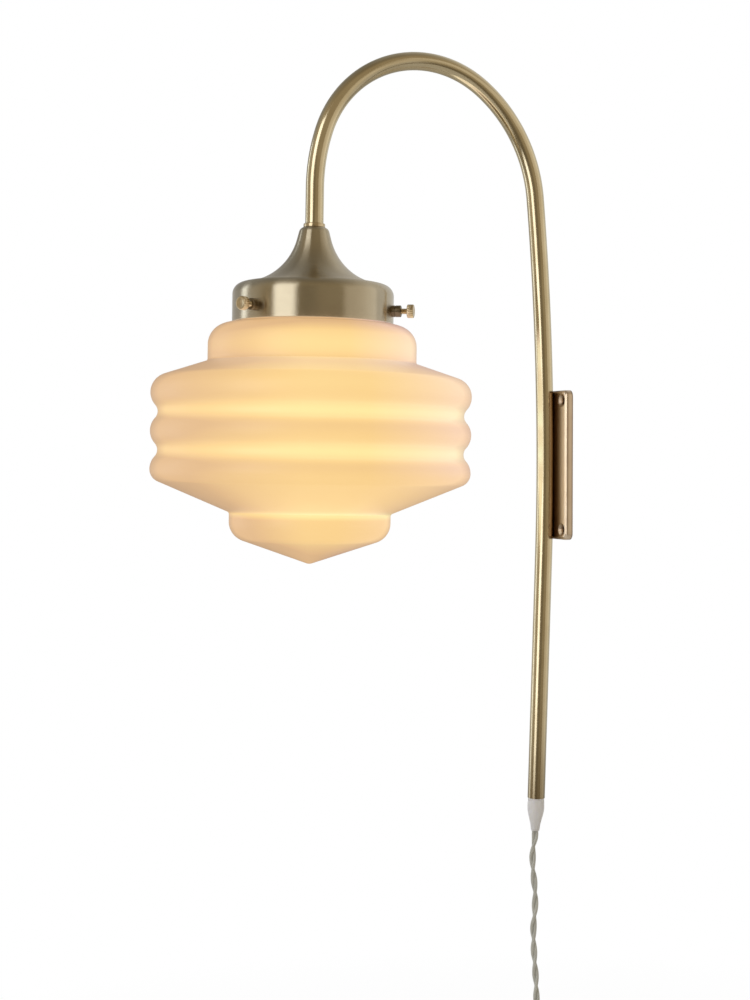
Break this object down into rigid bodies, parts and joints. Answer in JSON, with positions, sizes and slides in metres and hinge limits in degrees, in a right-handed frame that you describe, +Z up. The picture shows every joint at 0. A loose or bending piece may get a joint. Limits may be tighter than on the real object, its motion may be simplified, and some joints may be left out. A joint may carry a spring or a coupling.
{
  "type": "wall lamp",
  "caption": "Wall lamp: a brass tube on a wall plate arches over to a bell that holds a ribbed opal glass shade, with a gland, cord, inline switch and plug at its foot.",
  "frame": {"origin": "middle of the wall plate's back face, on the wall", "axes": "+Y into the wall, +Z up, +X to the right of someone who faces the wall; the arm lies in the plane x = 0"},
  "size_m": [0.21, 0.2886, 0.8619],
  "materials": {
    "wall_plate": "polished",
    "arm_tube": "polished",
    "neck_collar": "polished",
    "shade_gallery": "satin brushed",
    "gallery_bushes": "turned",
    "thumb_screw": "turned",
    "glass_shade": "opal, satin gloss",
    "threaded_nipple": "zinc plated",
    "nipple_washer": "zinc plated",
    "lock_nut": "zinc plated",
    "holder_cap": "moulded",
    "holder_body": "moulded",
    "holder_insert": "unglazed",
    "terminal_screws": "plain",
    "holder_shell": "pressed",
    "holder_contact": "pressed",
    "bulb_globe": "frosted, lit",
    "bulb_cap": "pressed",
    "bulb_tip": "solder",
    "cord": "braided textile",
    "cord_gland": "milky soft plastic",
    "switch_shell": "fine grain",
    "switch_rocker": "smooth",
    "switch_contacts": "pressed",
    "switch_screws": "zinc plated",
    "hank_tie": "flat strap",
    "plug": "moulded",
    "plug_blades": "bright"
  },
  "bodies": {
    "arm": {"wall_plate": "wall_plate", "arm_tube": "arm_tube", "neck_collar": "neck_collar", "shade_gallery": "shade_gallery", "gallery_bushes": "gallery_bushes", "glass_shade": "glass_shade", "threaded_nipple": "threaded_nipple", "nipple_washer": "nipple_washer", "lock_nut": "lock_nut", "holder_cap": "holder_cap", "holder_body": "holder_body", "holder_insert": "holder_insert", "terminal_screws": "terminal_screws", "holder_shell": "holder_shell", "holder_contact": "holder_contact", "bulb_globe": "bulb_globe", "bulb_cap": "bulb_cap", "bulb_tip": "bulb_tip", "inner_leads": "cord", "cord_gland": "cord_gland", "cord_hanging": "cord", "switch_base": "switch_shell", "switch_cover": "switch_shell", "switch_contacts": "switch_contacts", "switch_screws": "switch_screws", "cord_hank": "cord", "hank_tie": "hank_tie", "cord_tail": "cord", "plug_body": "plug", "plug_sleeve": "plug", "plug_blades": "plug_blades"},
    "thumb_screw_1": {"thumb_screw_1": "thumb_screw"},
    "thumb_screw_2": {"thumb_screw_2": "thumb_screw"},
    "thumb_screw_3": {"thumb_screw_3": "thumb_screw"},
    "switch_rocker": {"switch_rocker": "switch_rocker"}
  },
  "joints": [
    {"name": "thumb_screw_1_out", "type": "slide", "parent": "arm", "child": "thumb_screw_1", "axis": [0.5373, 0.8433, -0.0147], "range_m": [0, 0.006]},
    {"name": "thumb_screw_2_out", "type": "slide", "parent": "arm", "child": "thumb_screw_2", "axis": [-0.999, 0.0436, -0.0008], "range_m": [0, 0.006]},
    {"name": "thumb_screw_3_out", "type": "slide", "parent": "arm", "child": "thumb_screw_3", "axis": [0.4617, -0.8869, 0.0155], "range_m": [0, 0.006]},
    {"name": "rocker_turn", "type": "hinge", "parent": "arm", "child": "switch_rocker", "pos_m": [0, -0.024, -0.412], "axis": [1, 0, 0], "range_deg": [-20, 0]}
  ]
}
